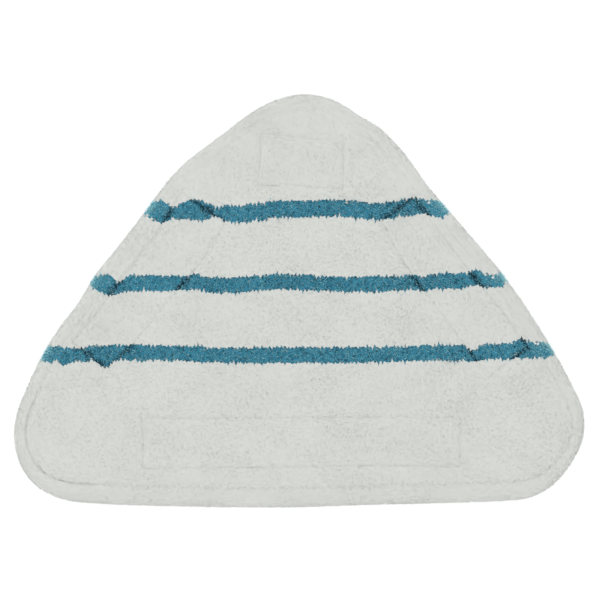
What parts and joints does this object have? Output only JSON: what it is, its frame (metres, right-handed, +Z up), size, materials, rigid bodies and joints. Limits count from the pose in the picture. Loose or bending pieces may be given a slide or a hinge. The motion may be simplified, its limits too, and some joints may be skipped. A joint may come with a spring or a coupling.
{
  "type": "steam mop pad",
  "caption": "Triangular microfibre cleaning pad for a steam mop head: white pile with blue stripes, padded core, and loop tapes sewn under the backing.",
  "frame": {"origin": "the middle of the bounding box in plan, at the plane of the tapes' loops, on which the pad lies", "axes": "+X along the long straight base, +Y from the base to the apex, +Z up out of the pile"},
  "size_m": [0.304, 0.221, 0.0101],
  "materials": {
    "pile_white": "fluffy pile",
    "pile_blue": "fluffy pile",
    "face_ground": "fine knit",
    "wadding": "matt felt",
    "backing_cloth": "warp knit",
    "tape_ribbon": "woven ribbon",
    "tape_loops": "brushed loops",
    "thread": "spun thread"
  },
  "bodies": {
    "root": {"pile_white_base": "pile_white", "pile_blue_lower": "pile_blue", "pile_white_lower": "pile_white", "pile_blue_middle": "pile_blue", "pile_white_upper": "pile_white", "pile_blue_upper": "pile_blue", "pile_white_apex": "pile_white", "face_ground": "face_ground", "wadding_core": "wadding", "backing_cloth": "backing_cloth", "edge_seam_thread": "thread", "rim_stitch_needle_thread": "thread", "rim_stitch_bobbin_thread": "thread", "apex_tape_ribbon": "tape_ribbon", "apex_tape_loops": "tape_loops", "apex_tape_needle_thread": "thread", "apex_tape_bobbin_thread": "thread", "left_tape_ribbon": "tape_ribbon", "left_tape_loops": "tape_loops", "left_tape_needle_thread": "thread", "left_tape_bobbin_thread": "thread", "right_tape_ribbon": "tape_ribbon", "right_tape_loops": "tape_loops", "right_tape_needle_thread": "thread", "right_tape_bobbin_thread": "thread", "base_tape_ribbon": "tape_ribbon", "base_tape_loops": "tape_loops", "base_tape_needle_thread": "thread", "base_tape_bobbin_thread": "thread"}
  },
  "joints": []
}
